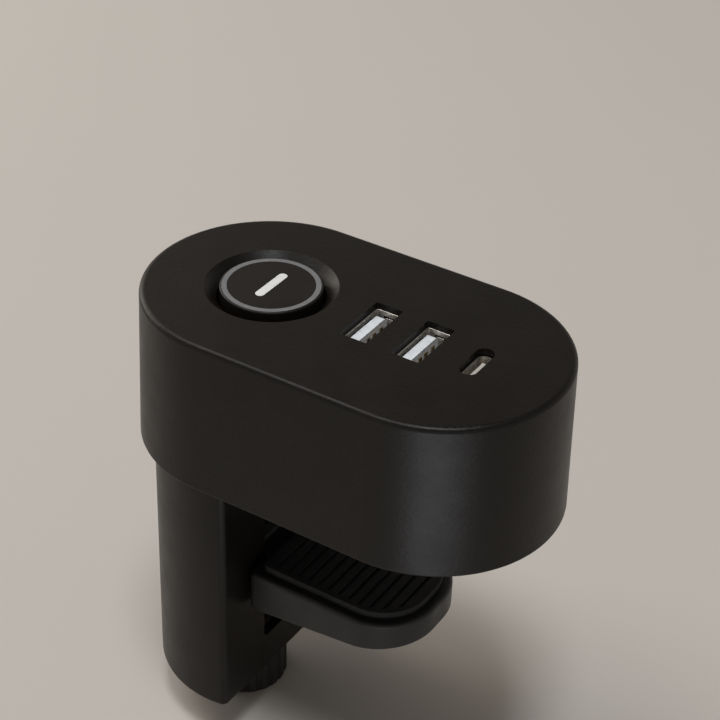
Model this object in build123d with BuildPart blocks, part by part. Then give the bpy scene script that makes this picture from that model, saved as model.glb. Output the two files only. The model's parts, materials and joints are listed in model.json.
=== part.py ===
from build123d import *
from math import atan, degrees
import os

# Clamp-on desk power strip, in millimetres.
# Origin: middle of the head's footprint, on the desk top.  +Z up, +X along the head from the
# power button to the USB-C port, -X over the edge of the desk, where the column hangs down.

# ---------------------------------------------------------------- driving dimensions
# Head
head_half_width = 25.0      # radius of the round ends at the top face
end_spacing = 37.1          # between the centres of the two round ends
head_top = 32.65            # top face above the desk
foot_growth = 0.78          # moulding draft: the head is this much wider all round at its foot
rim_gap = 0.4               # the housing's rim stays this far off the desk
head_wall = 2.2
top_wall = 2.4
top_round = 1.1             # rounded edge of the top face
foot_round = 0.35
shell_gap = 0.28            # base plate inside the housing
plate_bottom = 0.8          # the rubber pad's thickness
plate_thick = 3.0
boss_radius = 3.0

# Power button
button_radius = 9.9
button_edge_round = 0.35
button_proud = 0.1          # button face above the top face
button_travel = 1.8
ring_inset = 0.38           # from the button's edge to the light ring
ring_width = 1.06
inlay_depth = 1.2           # ring and symbol are set this deep
symbol_width = 1.85
symbol_length = 9.4
inlay_gap = 0.02
well_gap = 0.6              # round the button
funnel_flare = 2.4          # how far the funnel round the button opens out
funnel_depth = 2.26
well_wall = 2.0
well_length = 8.35          # from the top face to the foot of the well tube
button_ceiling = 2.0
button_skirt_wall = 1.9
stop_flange = 2.0           # stands out this far from the foot of the button
stop_flange_thick = 1.4
stop_gap = 0.3
hub_radius = 3.6

# USB ports
last_port = 7.65            # USB-C port beyond the centre of the far round end
port_pitch = 11.15
usb_a_window = (5.8, 12.95)
usb_a_outer = (5.7, 13.1)
usb_a_wall = 0.3
usb_a_depth = 1.25          # mouth of the shell below the top face
usb_a_tongue = (1.84, 11.1)
usb_a_tongue_depth = 1.8    # tongue's end below the top face
usb_a_tongue_gap = 0.68     # between the tongue and the shell on the button's side
usb_c_window = (3.6, 9.5)
usb_c_outer = (3.16, 8.94)
usb_c_wall = 0.3
usb_c_depth = 1.5
usb_c_tongue = (0.7, 6.69)
usb_c_tongue_depth = 2.1
port_length = 14.0          # mouth of a USB-A shell down to the board
seat_gap = 0.05

# Boards
board_thick = 1.6
main_board_size = (35.0, 36.0)
main_board_back = 5.05      # middle of the board, back from the centre of the far round end
switch_board_size = (24.0, 22.8)
standoff_height = 7.6
standoff_radius = 2.4
standoff_spread = (21.0, 17.2)
switch_size = 12.0
switch_height = 7.0
plunger_radius = 2.5
led_circle = 8.0            # radius on which the button's four lamps stand
spring_radius = 4.7
spring_wire = 0.35
spring_turns = 6

# Column that hangs down the edge of the desk
column_radius = 22.0
column_gap = 0.23           # between the column's top and the housing's wall
column_flat = 5.0           # flat side, beyond the centre of the round side
column_wall = 2.2
column_floor = 1.8          # clear below the clamp's spine
column_cap = 2.0
column_corner = 1.5
column_boss = (2.8, 16.6, 6.5)   # radius, offset behind the round side's centre, half pitch
grommet_offset = (-2.3, 14.3)    # from the centre of the column's round side
grommet_bore = 3.1
cable_hole = 3.4            # in the base plate, in line with the grommet

# Clamp
desk_thickness = 25.0       # as stored; the jaw sits against a desk this thick
jaw_up = 15.0               # travel to the thinnest desk
jaw_down = 13.0             # travel to the thickest desk
jaw_pad_thick = 1.5
jaw_reach = 37.0            # jaw beyond the edge of the desk
jaw_width = 28.0
jaw_root = 9.0
jaw_tip = 5.5
jaw_gap = 0.5
carriage_half = 8.2
carriage_up = 3.0           # carriage above the jaw's top face
liner_thick = 0.9
slide_gap = 0.1
neck_half = 6.9
slot_side_gap = 0.5
slot_end_gap = 1.0
screw_back = 5.1            # feed screw behind the centre of the column's round side
thread_radius = 3.0
journal_radius = 2.5
collar_radius = 5.0
run_gap = 0.05
nut_radius = 5.0
nut_length = 9.0
cheek_thick = 2.0
spine_plate = 2.0
spine_flange = 2.5
washer_thick = 1.0
knob_radius = 9.0
knob_height = 9.8
knob_flutes = 20

# Screws: shank radius, head radius, head height
m25 = (1.25, 2.2, 1.5)
m3 = (1.5, 2.75, 1.65)
m4 = (2.0, 3.6, 2.2)
thread_gap = 0.05
hole_gap = 0.2

# ---------------------------------------------------------------- worked out from them
left_end = -end_spacing / 2
right_end = end_spacing / 2
draft = degrees(atan(foot_growth / head_top))
rim_radius = head_half_width + foot_growth * (1 - rim_gap / head_top)
plate_radius = head_half_width + foot_growth - head_wall - shell_gap
plate_top = plate_bottom + plate_thick
column_x = left_end - (head_half_width + foot_growth - head_wall - column_gap) + column_radius
desk_edge_x = column_x + column_flat
screw_x = column_x - screw_back
grommet_at = (column_x + grommet_offset[0], grommet_offset[1])
main_board_x = right_end - main_board_back
ring_outer = button_radius - ring_inset
ring_inner = ring_outer - ring_width
well_bore_radius = button_radius + well_gap
well_rim_radius = well_bore_radius + funnel_flare
stop_flange_radius = button_radius + stop_flange
ceiling = head_top - top_wall
button_top = head_top + button_proud
well_foot = head_top - well_length
usb_a_mouth = head_top - usb_a_depth
usb_c_mouth = head_top - usb_c_depth
board_top = usb_a_mouth - seat_gap - port_length
board_bottom = board_top - board_thick
port_x = [right_end + last_port - i * port_pitch for i in (2, 1, 0)]
switch_board_bottom = plate_top + standoff_height
switch_board_top = switch_board_bottom + board_thick
switch_top = switch_board_top + switch_height
button_inside = button_radius - button_skirt_wall
button_roof = button_top - button_ceiling
flange_top = well_foot - stop_gap
hub_foot = flange_top - 0.5
boss_places = [(right_end + 16.35, 11.5), (right_end + 16.35, -11.5),
               (left_end - 10.45, 17.0), (left_end - 10.45, -17.0)]
post_places = [(main_board_x - 14.5, 15.0), (main_board_x - 14.5, -15.0),
               (main_board_x + 15.0, 14.5), (main_board_x + 15.0, -14.5)]
post_radius = 2.6
standoff_places = [(left_end + sx * standoff_spread[0] / 2, sy * standoff_spread[1] / 2)
                   for sx in (-1, 1) for sy in (-1, 1)]
spine_screw_places = [(screw_x - 5.4, 3.9), (screw_x - 5.4, -3.9),
                      (screw_x + 5.6, 5.6), (screw_x + 5.6, -5.6)]
column_boss_radius = column_boss[0]
column_screw_places = [(column_x - column_boss[1], side * column_boss[2]) for side in (-1, 1)]
column_inside = desk_edge_x - column_wall
spine_front = column_inside - 0.2
spine_back = screw_x - 6.5
cheek_inner = carriage_half + liner_thick + slide_gap
cheek_outer = cheek_inner + cheek_thick
flange_bottom = plate_bottom - spine_flange
jaw_top = -desk_thickness - jaw_pad_thick
carriage_top = jaw_top + carriage_up
carriage_bottom = jaw_top - jaw_root
carriage_back = spine_back + 0.5
collar_top = carriage_bottom - jaw_down - 0.95
collar_thick = 2.0
spine_floor = collar_top - collar_thick - run_gap - washer_thick
spine_bottom = spine_floor - spine_plate
column_length = column_floor - spine_bottom
cap_bottom = -column_length - column_cap
knob_top = cap_bottom - 0.5
knob_bottom = knob_top - knob_height
journal_end = knob_bottom + 1.6

os.makedirs("parts", exist_ok=True)


def save(piece, label):
    """Write one finished sub-part under its own name."""
    piece.label = label
    export_step(piece, f"parts/{label}.step")


def d_outline(radius, face_x):
    """The column's plan: a round side cut flat where it meets the desk's edge."""
    with Locations((column_x, 0)):
        Circle(radius)
    with Locations((face_x, 0)):
        Rectangle(4 * radius, 4 * radius, align=(Align.MAX, Align.CENTER), mode=Mode.INTERSECT)


def slot_outline(size):
    """A window with round ends, long along Y, from its (X, Y) size."""
    SlotOverall(size[1], size[0], rotation=90)


def screw_down(places, kind, seat, length, name):
    """Pan-head screws pointing down, heads seated at height seat."""
    shank, head, rise = kind
    with BuildPart() as screws:
        with Locations(*[(x, y, seat) for x, y in places]):
            Cylinder(head, rise, align=(Align.CENTER, Align.CENTER, Align.MIN))
        with Locations(*[(x, y, seat) for x, y in places]):
            Cylinder(shank, length, align=(Align.CENTER, Align.CENTER, Align.MAX))
        with Locations(*[(x, y, seat + rise) for x, y in places]):
            Cylinder(shank * 0.7, rise * 0.6, align=(Align.CENTER, Align.CENTER, Align.MAX),
                     mode=Mode.SUBTRACT)
    save(screws.part, name)


def screw_up(places, kind, seat, length, name):
    """Countersunk screws pointing up, heads flush with height seat."""
    shank, head, rise = kind
    with BuildPart() as screws:
        with Locations(*[(x, y, seat) for x, y in places]):
            Cone(head, shank, rise, align=(Align.CENTER, Align.CENTER, Align.MIN))
        with Locations(*[(x, y, seat + rise) for x, y in places]):
            Cylinder(shank, length - rise, align=(Align.CENTER, Align.CENTER, Align.MIN))
        with Locations(*[(x, y, seat) for x, y in places]):
            Cylinder(shank * 0.7, rise * 0.6, align=(Align.CENTER, Align.CENTER, Align.MIN),
                     mode=Mode.SUBTRACT)
    save(screws.part, name)


# ---------------------------------------------------------------- head
with BuildPart() as head_housing:
    with BuildSketch(Plane.XY.offset(rim_gap)):
        SlotCenterToCenter(end_spacing, 2 * rim_radius)
    extrude(amount=head_top - rim_gap, taper=draft)
    fillet(head_housing.faces().sort_by(Axis.Z)[-1].edges(), top_round)
    fillet(head_housing.faces().sort_by(Axis.Z)[0].edges(), foot_round)
    with BuildSketch(Plane.XY.offset(rim_gap)):
        SlotCenterToCenter(end_spacing, 2 * (rim_radius - head_wall))
    extrude(amount=ceiling - rim_gap, taper=draft, mode=Mode.SUBTRACT)
    # tube that guides the button, screw bosses and board posts, all moulded to the ceiling
    with BuildSketch(Plane.XY.offset(well_foot)):
        with Locations((left_end, 0)):
            Circle(well_bore_radius + well_wall)
    extrude(amount=ceiling - well_foot + 0.5)
    with BuildSketch(Plane.XY.offset(plate_top)):
        with Locations(*boss_places):
            Circle(boss_radius)
    extrude(amount=ceiling - plate_top + 0.5)
    with BuildSketch(Plane.XY.offset(board_top)):
        with Locations(*post_places):
            Circle(post_radius)
    extrude(amount=ceiling - board_top + 0.5)
    with Locations((left_end, 0, head_top)):
        Cone(well_bore_radius, well_rim_radius, funnel_depth,
             align=(Align.CENTER, Align.CENTER, Align.MAX), mode=Mode.SUBTRACT)
        Cylinder(well_bore_radius, well_length, align=(Align.CENTER, Align.CENTER, Align.MAX),
                 mode=Mode.SUBTRACT)
    # windows for the ports; the USB-A shells butt against a thinner web
    with BuildSketch(Plane.XY.offset(head_top)):
        with Locations((port_x[0], 0), (port_x[1], 0)):
            RectangleRounded(*usb_a_window, 0.3)
        with Locations((port_x[2], 0)):
            slot_outline(usb_c_window)
    extrude(amount=-top_wall, mode=Mode.SUBTRACT)
    with BuildSketch(Plane.XY.offset(usb_a_mouth)):
        with Locations((port_x[0], 0), (port_x[1], 0)):
            RectangleRounded(usb_a_outer[0] + 0.4, usb_a_outer[1] + 0.4, 0.5)
    extrude(amount=ceiling - usb_a_mouth, mode=Mode.SUBTRACT)
    # pilot holes
    with Locations(*[(x, y, plate_top) for x, y in boss_places]):
        Cylinder(m3[0] + thread_gap, 11, align=(Align.CENTER, Align.CENTER, Align.MIN),
                 mode=Mode.SUBTRACT)
    with Locations(*[(x, y, board_top) for x, y in post_places]):
        Cylinder(m25[0] + thread_gap, 8, align=(Align.CENTER, Align.CENTER, Align.MIN),
                 mode=Mode.SUBTRACT)
save(head_housing.part, "head_housing")

with BuildPart() as base_plate:
    with BuildSketch(Plane.XY.offset(plate_bottom)):
        SlotCenterToCenter(end_spacing, 2 * plate_radius)
    extrude(amount=plate_thick)
    with Locations(*[(x, y, plate_bottom) for x, y in boss_places]):
        Cone(m3[1] + hole_gap, m3[0] + hole_gap, m3[2],
             align=(Align.CENTER, Align.CENTER, Align.MIN), mode=Mode.SUBTRACT)
        Cylinder(m3[0] + hole_gap, plate_thick, align=(Align.CENTER, Align.CENTER, Align.MIN),
                 mode=Mode.SUBTRACT)
    with Locations(*[(x, y, plate_top) for x, y in spine_screw_places]):
        Cylinder(m4[0] + hole_gap, plate_thick, align=(Align.CENTER, Align.CENTER, Align.MAX),
                 mode=Mode.SUBTRACT)
        Cone(m4[0] + hole_gap, m4[1] + hole_gap, m4[2],
             align=(Align.CENTER, Align.CENTER, Align.MAX), mode=Mode.SUBTRACT)
    with Locations(*[(x, y, plate_top) for x, y in column_screw_places]):
        Cylinder(m3[0] + hole_gap, plate_thick, align=(Align.CENTER, Align.CENTER, Align.MAX),
                 mode=Mode.SUBTRACT)
    with Locations((*grommet_at, plate_top)):
        Cylinder(cable_hole, plate_thick, align=(Align.CENTER, Align.CENTER, Align.MAX),
                 mode=Mode.SUBTRACT)
save(base_plate.part, "base_plate")

with BuildPart() as desk_pad:
    with BuildSketch() as pad_plan:
        SlotCenterToCenter(end_spacing, 2 * (plate_radius - 0.9))
        with Locations((desk_edge_x + 1.4, 0)):
            Rectangle(2 * end_spacing, 4 * plate_radius, align=(Align.MIN, Align.CENTER),
                      mode=Mode.INTERSECT)
        fillet(pad_plan.vertices().group_by(Axis.X)[0], 1.5)
    extrude(amount=plate_bottom)
save(desk_pad.part, "desk_pad")

screw_up(boss_places, m3, plate_bottom, 11.5, "housing_screws")

# ---------------------------------------------------------------- power button
with BuildPart() as button_cap:
    with Locations((left_end, 0, button_top)):
        Cylinder(button_radius, button_top - flange_top + stop_flange_thick,
                 align=(Align.CENTER, Align.CENTER, Align.MAX))
    fillet(button_cap.edges().sort_by(Axis.Z)[-1], button_edge_round)
    with Locations((left_end, 0, flange_top)):
        Cylinder(stop_flange_radius, stop_flange_thick,
                 align=(Align.CENTER, Align.CENTER, Align.MAX))
    with Locations((left_end, 0, button_roof)):
        Cylinder(button_inside, button_top, align=(Align.CENTER, Align.CENTER, Align.MAX),
                 mode=Mode.SUBTRACT)
    with Locations((left_end, 0, button_roof + 0.5)):
        Cylinder(hub_radius, button_roof + 0.5 - hub_foot,
                 align=(Align.CENTER, Align.CENTER, Align.MAX))
    with BuildSketch(Plane.XY.offset(button_top)):
        with Locations((left_end, 0)):
            Circle(ring_outer)
            Circle(ring_inner, mode=Mode.SUBTRACT)
            slot_outline((symbol_width, symbol_length))
    extrude(amount=-inlay_depth, mode=Mode.SUBTRACT)
save(button_cap.part, "button_cap")

with BuildPart() as button_light_ring:
    with BuildSketch(Plane.XY.offset(button_top - inlay_depth)):
        with Locations((left_end, 0)):
            Circle(ring_outer - inlay_gap)
            Circle(ring_inner + inlay_gap, mode=Mode.SUBTRACT)
    extrude(amount=inlay_depth)
save(button_light_ring.part, "button_light_ring")

with BuildPart() as button_symbol_bar:
    with BuildSketch(Plane.XY.offset(button_top - inlay_depth)):
        with Locations((left_end, 0)):
            slot_outline((symbol_width - 2 * inlay_gap, symbol_length - 2 * inlay_gap))
    extrude(amount=inlay_depth)
save(button_symbol_bar.part, "button_symbol_bar")

with BuildPart() as switch_plunger:
    with Locations((left_end, 0, hub_foot)):
        Cylinder(plunger_radius, hub_foot - switch_top + 2.5,
                 align=(Align.CENTER, Align.CENTER, Align.MAX))
save(switch_plunger.part, "switch_plunger")

with BuildPart() as push_switch:
    with BuildSketch(Plane.XY.offset(switch_board_top)):
        with Locations((left_end, 0)):
            RectangleRounded(switch_size, switch_size, 0.8)
    extrude(amount=switch_height)
    with Locations((left_end, 0, switch_top)):
        Cylinder(plunger_radius + 0.3, button_travel + 3,
                 align=(Align.CENTER, Align.CENTER, Align.MAX), mode=Mode.SUBTRACT)
save(push_switch.part, "push_switch")

spring_low = switch_top + spring_wire + run_gap
spring_high = button_roof - spring_wire - run_gap
spring_pitch = (spring_high - spring_low) / spring_turns
with BuildPart() as return_spring:
    with BuildLine():
        coil = Helix(spring_pitch, spring_high - spring_low, spring_radius,
                     center=(left_end, 0, spring_low))
    with BuildSketch(Plane(origin=coil @ 0, z_dir=coil % 0)):
        Circle(spring_wire)
    sweep(is_frenet=True)
save(return_spring.part, "return_spring")

with BuildPart() as switch_board:
    with BuildSketch(Plane.XY.offset(switch_board_bottom)):
        with Locations((left_end, 0)):
            RectangleRounded(*switch_board_size, 1.5)
    extrude(amount=board_thick)
    with Locations(*[(x, y, switch_board_top) for x, y in standoff_places]):
        Cylinder(m25[0] + 0.1, board_thick, align=(Align.CENTER, Align.CENTER, Align.MAX),
                 mode=Mode.SUBTRACT)
save(switch_board.part, "switch_board")

with BuildPart() as switch_standoffs:
    with BuildSketch(Plane.XY.offset(plate_top)):
        with Locations(*standoff_places):
            RegularPolygon(standoff_radius, 6)
            Circle(m25[0] + thread_gap, mode=Mode.SUBTRACT)
    extrude(amount=standoff_height)
save(switch_standoffs.part, "switch_standoffs")

screw_down(standoff_places, m25, switch_board_top, 6, "switch_board_screws")

with BuildPart() as button_leds:
    with Locations((left_end, 0, switch_board_top)):
        with PolarLocations(led_circle, 4):
            Box(2.0, 2.0, 0.9, align=(Align.CENTER, Align.CENTER, Align.MIN))
save(button_leds.part, "button_leds")

# ---------------------------------------------------------------- USB ports
for number, x in enumerate(port_x[:2], start=1):
    inner = (usb_a_outer[0] - 2 * usb_a_wall, usb_a_outer[1] - 2 * usb_a_wall)
    tongue_x = x - inner[0] / 2 + usb_a_tongue_gap + usb_a_tongue[0] / 2
    tongue_top = head_top - usb_a_tongue_depth
    block_top = board_top + 3.0

    with BuildPart() as usb_a_shell:
        with BuildSketch(Plane.XY.offset(board_top)):
            with Locations((x, 0)):
                RectangleRounded(*usb_a_outer, 0.6)
                RectangleRounded(*inner, 0.3, mode=Mode.SUBTRACT)
        extrude(amount=port_length)
    save(usb_a_shell.part, f"usb_a_shell_{number}")

    with BuildPart() as usb_a_insulator:
        with Locations((x, 0, board_top)):
            Box(inner[0] - 0.1, inner[1] - 0.1, block_top - board_top,
                align=(Align.CENTER, Align.CENTER, Align.MIN))
        fillet(usb_a_insulator.edges().filter_by(Axis.Z), 0.3)
        with Locations((tongue_x, 0, board_top)):
            Box(*usb_a_tongue, tongue_top - board_top,
                align=(Align.CENTER, Align.CENTER, Align.MIN))
        fillet(usb_a_insulator.faces().sort_by(Axis.Z)[-1].edges().filter_by(Axis.X), 1.2)
    save(usb_a_insulator.part, f"usb_a_tongue_{number}")

    with BuildPart() as usb_a_contacts:
        with Locations(*[(tongue_x + usb_a_tongue[0] / 2, y, block_top)
                         for y in (-3.5, -1.0, 1.0, 3.5)]):
            Box(0.2, 1.0, tongue_top - block_top - 1.2,
                align=(Align.MIN, Align.CENTER, Align.MIN))
    save(usb_a_contacts.part, f"usb_a_contacts_{number}")

c_inner = (usb_c_outer[0] - 2 * usb_c_wall, usb_c_outer[1] - 2 * usb_c_wall)
c_block_top = board_top + 6.0
c_tongue_top = head_top - usb_c_tongue_depth
with BuildPart() as usb_c_shell:
    with BuildSketch(Plane.XY.offset(board_top)):
        with Locations((port_x[2], 0)):
            slot_outline(usb_c_outer)
    extrude(amount=usb_c_mouth - board_top)
    with BuildSketch(Plane.XY.offset(usb_c_mouth)):
        with Locations((port_x[2], 0)):
            slot_outline(c_inner)
    extrude(amount=board_top - usb_c_mouth, mode=Mode.SUBTRACT)
save(usb_c_shell.part, "usb_c_shell")

with BuildPart() as usb_c_insulator:
    with BuildSketch(Plane.XY.offset(board_top)):
        with Locations((port_x[2], 0)):
            slot_outline((c_inner[0] - 0.1, c_inner[1] - 0.1))
    extrude(amount=c_block_top - board_top)
    with Locations((port_x[2], 0, board_top)):
        Box(*usb_c_tongue, c_tongue_top - board_top,
            align=(Align.CENTER, Align.CENTER, Align.MIN))
    fillet(usb_c_insulator.faces().sort_by(Axis.Z)[-1].edges().filter_by(Axis.X), 0.6)
save(usb_c_insulator.part, "usb_c_tongue")

with BuildPart() as usb_c_contacts:
    for side in (-1, 1):
        with Locations(*[(port_x[2] + side * (usb_c_tongue[0] / 2 + 0.04), 0.5 * (i - 5.5),
                          c_block_top) for i in range(12)]):
            Box(0.08, 0.26, 4.2, align=(Align.CENTER, Align.CENTER, Align.MIN))
save(usb_c_contacts.part, "usb_c_contacts")

# ---------------------------------------------------------------- supply and charging board
with BuildPart() as main_board:
    with BuildSketch(Plane.XY.offset(board_bottom)):
        with Locations((main_board_x, 0)):
            RectangleRounded(*main_board_size, 1.5)
    extrude(amount=board_thick)
    with Locations(*[(x, y, board_top) for x, y in post_places]):
        Cylinder(m25[0] + 0.1, board_thick, align=(Align.CENTER, Align.CENTER, Align.MAX),
                 mode=Mode.SUBTRACT)
save(main_board.part, "main_board")


def pan_screw_up(places, kind, seat, length, name):
    """Pan-head screws pointing up, heads hanging below height seat."""
    shank, head, rise = kind
    with BuildPart() as screws:
        with Locations(*[(x, y, seat) for x, y in places]):
            Cylinder(head, rise, align=(Align.CENTER, Align.CENTER, Align.MAX))
            Cylinder(shank, length, align=(Align.CENTER, Align.CENTER, Align.MIN))
    save(screws.part, name)


pan_screw_up(post_places, m25, board_bottom, 7, "main_board_screws")

with BuildPart() as insulating_sheet:
    with BuildSketch(Plane.XY.offset(plate_top)):
        with Locations((main_board_x, 0)):
            RectangleRounded(*main_board_size, 2.0)
    extrude(amount=0.4)
save(insulating_sheet.part, "insulating_sheet")

core_size = (15.0, 16.0, 10.4)
core_leg = 3.6
core_yoke = 2.5
core_window = (core_size[0] - 2 * core_yoke, core_size[2] - 2 * core_yoke)
with BuildPart() as transformer_core:
    with Locations((main_board_x - 3.0, 0, board_bottom - core_size[2] / 2)):
        Box(*core_size)
        Box(core_window[0], core_size[1], core_window[1], mode=Mode.SUBTRACT)
        Box(core_leg, core_size[1], core_window[1])
save(transformer_core.part, "transformer_core")

winding_gap = 0.6
winding_end = 1.2
with BuildPart() as transformer_winding:
    with Locations((main_board_x - 3.0, 0, board_bottom - core_size[2] / 2)):
        Box(core_window[0] - winding_gap, core_size[1] + winding_gap + 2 * winding_end,
            core_window[1] - winding_gap)
        Box(core_leg + winding_gap, core_size[1] + winding_gap, core_window[1],
            mode=Mode.SUBTRACT)
save(transformer_winding.part, "transformer_winding")


def can_capacitors(places, radius, height, seat, upright, name):
    """Round capacitors standing on a board face, or hanging from it."""
    side = Align.MIN if upright else Align.MAX
    with BuildPart() as cans:
        with Locations(*[(x, y, seat) for x, y in places]):
            Cylinder(radius, height, align=(Align.CENTER, Align.CENTER, side))
        fillet(cans.edges().filter_by(GeomType.CIRCLE), 0.5)
    save(cans.part, name)


can_capacitors([(main_board_x + 9.4, -5.5), (main_board_x + 9.4, 5.5)], 4.5, 10.8,
               board_bottom, False, "input_capacitors")
can_capacitors([(port_x[0], 11.5), (port_x[1], 11.5), (port_x[1], -11.5)], 3.0, 9.0,
               board_top, True, "output_capacitors")

with BuildPart() as power_chokes:
    with Locations((port_x[0] + 2.5, -12.0, board_top), (port_x[2] - 3.4, 9.2, board_top)):
        Box(6.5, 6.5, 4.0, align=(Align.CENTER, Align.CENTER, Align.MIN))
    fillet(power_chokes.edges().filter_by(Axis.Z), 1.0)
save(power_chokes.part, "power_chokes")

with BuildPart() as charge_chips:
    with Locations((port_x[0] + port_pitch / 2, 0, board_top),
                   (port_x[1] + port_pitch / 2, 0, board_top)):
        Box(3.6, 5.0, 1.1, align=(Align.CENTER, Align.CENTER, Align.MIN))
save(charge_chips.part, "charge_chips")

fuse_radius = 2.6
with BuildPart() as line_fuse:
    with Locations((main_board_x - 5.0, -13.4, board_bottom - fuse_radius - 0.3)):
        Cylinder(fuse_radius, 13.0, rotation=(0, 90, 0))
save(line_fuse.part, "line_fuse")

with BuildPart() as bridge_rectifier:
    with Locations((main_board_x + 8.0, -14.0, board_bottom)):
        Box(8.0, 4.0, 6.0, align=(Align.CENTER, Align.CENTER, Align.MAX))
save(bridge_rectifier.part, "bridge_rectifier")

link_thick = 0.8
link_start = left_end + switch_board_size[0] / 2
link_end = main_board_x - main_board_size[0] / 2
terminal_size = (6.0, 9.6, 9.5)
with BuildPart() as mains_terminal_block:
    with Locations((link_end + 0.4, 0, board_bottom)):
        Box(*terminal_size, align=(Align.MIN, Align.CENTER, Align.MAX))
    with Locations((link_end + 0.4, 0, board_bottom - 5.5)):
        with GridLocations(0, 4.2, 1, 2):
            Cylinder(1.3, 6.0, rotation=(0, 90, 0), mode=Mode.SUBTRACT)
save(mains_terminal_block.part, "mains_terminal_block")

with BuildPart() as board_link:
    with BuildSketch(Plane.XZ.offset(-4)):
        with BuildLine():
            Polyline((link_start - 2.5, switch_board_top), (link_end - 0.4, switch_board_top),
                     (link_end - 0.4, board_top), (link_end + 3, board_top),
                     (link_end + 3, board_top + link_thick),
                     (link_end - 0.4 - link_thick, board_top + link_thick),
                     (link_end - 0.4 - link_thick, switch_board_top + link_thick),
                     (link_start - 2.5, switch_board_top + link_thick), close=True)
        make_face()
    extrude(amount=8)
save(board_link.part, "board_link")

# ---------------------------------------------------------------- column
slot_half = neck_half + slot_side_gap
slot_high = jaw_top + jaw_up + slot_end_gap
slot_low = carriage_bottom - jaw_down - slot_end_gap
with BuildPart() as column_shell:
    with BuildSketch(Plane.XY.offset(-column_length)):
        d_outline(column_radius, desk_edge_x)
    extrude(amount=column_length + plate_bottom)
    fillet(column_shell.edges().filter_by(Axis.Z).group_by(Axis.X)[-1], column_corner)
    with BuildSketch(Plane.XY.offset(-column_length)):
        d_outline(column_radius - column_wall, column_inside)
    extrude(amount=column_length + plate_bottom, mode=Mode.SUBTRACT)
    with BuildSketch(Plane.XY.offset(-column_length)):
        with Locations(*column_screw_places):
            Circle(column_boss_radius)
            Circle(m3[0] + thread_gap, mode=Mode.SUBTRACT)
    extrude(amount=column_length + plate_bottom)
    with BuildSketch(Plane.YZ.offset(desk_edge_x)):
        with Locations((0, (slot_high + slot_low) / 2)):
            RectangleRounded(2 * slot_half, slot_high - slot_low, 1.5)
    extrude(amount=-column_wall, mode=Mode.SUBTRACT)
save(column_shell.part, "column_shell")

with BuildPart() as column_bottom_cap:
    with BuildSketch(Plane.XY.offset(cap_bottom)):
        d_outline(column_radius, desk_edge_x)
    extrude(amount=column_cap)
    fillet(column_bottom_cap.edges().filter_by(Axis.Z).group_by(Axis.X)[-1], column_corner)
    fillet(column_bottom_cap.faces().sort_by(Axis.Z)[0].edges(), 0.8)
    with Locations((screw_x, 0, cap_bottom)):
        Cylinder(journal_radius + 1.2, column_cap,
                 align=(Align.CENTER, Align.CENTER, Align.MIN), mode=Mode.SUBTRACT)
    with Locations((*grommet_at, cap_bottom)):
        Cylinder(grommet_bore + 1.1, column_cap,
                 align=(Align.CENTER, Align.CENTER, Align.MIN), mode=Mode.SUBTRACT)
    with Locations(*[(x, y, cap_bottom) for x, y in column_screw_places]):
        Cylinder(m3[0] + hole_gap, column_cap, align=(Align.CENTER, Align.CENTER, Align.MIN),
                 mode=Mode.SUBTRACT)
        Cone(m3[1] + hole_gap, m3[0] + hole_gap, m3[2],
             align=(Align.CENTER, Align.CENTER, Align.MIN), mode=Mode.SUBTRACT)
save(column_bottom_cap.part, "column_bottom_cap")

screw_up(column_screw_places, m3, cap_bottom, 10, "column_cap_screws")
screw_down(column_screw_places, m3, plate_top, 9, "column_top_screws")

with BuildPart() as cable_grommet:
    with Locations((*grommet_at, cap_bottom)):
        Cylinder(grommet_bore + 1.7, 1.6, align=(Align.CENTER, Align.CENTER, Align.MAX))
        Cylinder(grommet_bore + 1.0, column_cap, align=(Align.CENTER, Align.CENTER, Align.MIN))
    fillet(cable_grommet.edges().sort_by(Axis.Z)[0], 0.6)
    with Locations((*grommet_at, cap_bottom + column_cap)):
        Cylinder(grommet_bore + 1.5, 0.9, align=(Align.CENTER, Align.CENTER, Align.MIN))
    with Locations((*grommet_at, cap_bottom)):
        Cylinder(grommet_bore, 4 * column_cap, mode=Mode.SUBTRACT)
save(cable_grommet.part, "cable_grommet")

# ---------------------------------------------------------------- clamp
with BuildPart() as spine_bracket:
    with BuildSketch(Plane.XY.offset(flange_bottom)):
        with Locations((spine_front, 0)):
            Rectangle(spine_front - spine_back + 1.5, 2 * cheek_outer + 0.6,
                      align=(Align.MAX, Align.CENTER))
    extrude(amount=spine_flange)
    with BuildSketch(Plane.XY.offset(spine_bottom)):
        with Locations((spine_front, 0)):
            Rectangle(spine_front - spine_back, 2 * cheek_outer, align=(Align.MAX, Align.CENTER))
    extrude(amount=spine_plate)
    with BuildSketch(Plane.XY.offset(spine_bottom)):
        for side in (-1, 1):
            with Locations((spine_front, side * (cheek_inner + cheek_thick / 2))):
                Rectangle(spine_front - spine_back, cheek_thick, align=(Align.MAX, Align.CENTER))
    extrude(amount=flange_bottom - spine_bottom)
    with Locations((screw_x, 0, plate_bottom)):
        Cylinder(journal_radius + run_gap, plate_bottom - spine_bottom,
                 align=(Align.CENTER, Align.CENTER, Align.MAX), mode=Mode.SUBTRACT)
    with Locations(*[(x, y, plate_bottom) for x, y in spine_screw_places]):
        Cylinder(m4[0] + thread_gap, spine_flange,
                 align=(Align.CENTER, Align.CENTER, Align.MAX), mode=Mode.SUBTRACT)
save(spine_bracket.part, "spine_bracket")

with BuildPart() as spine_screws:
    with Locations(*[(x, y, plate_top) for x, y in spine_screw_places]):
        Cone(m4[0], m4[1], m4[2], align=(Align.CENTER, Align.CENTER, Align.MAX))
        Cylinder(m4[0], plate_top - flange_bottom - 0.2,
                 align=(Align.CENTER, Align.CENTER, Align.MAX))
        Cylinder(m4[0] * 0.7, 1.3, align=(Align.CENTER, Align.CENTER, Align.MAX),
                 mode=Mode.SUBTRACT)
save(spine_screws.part, "spine_screws")

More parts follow.
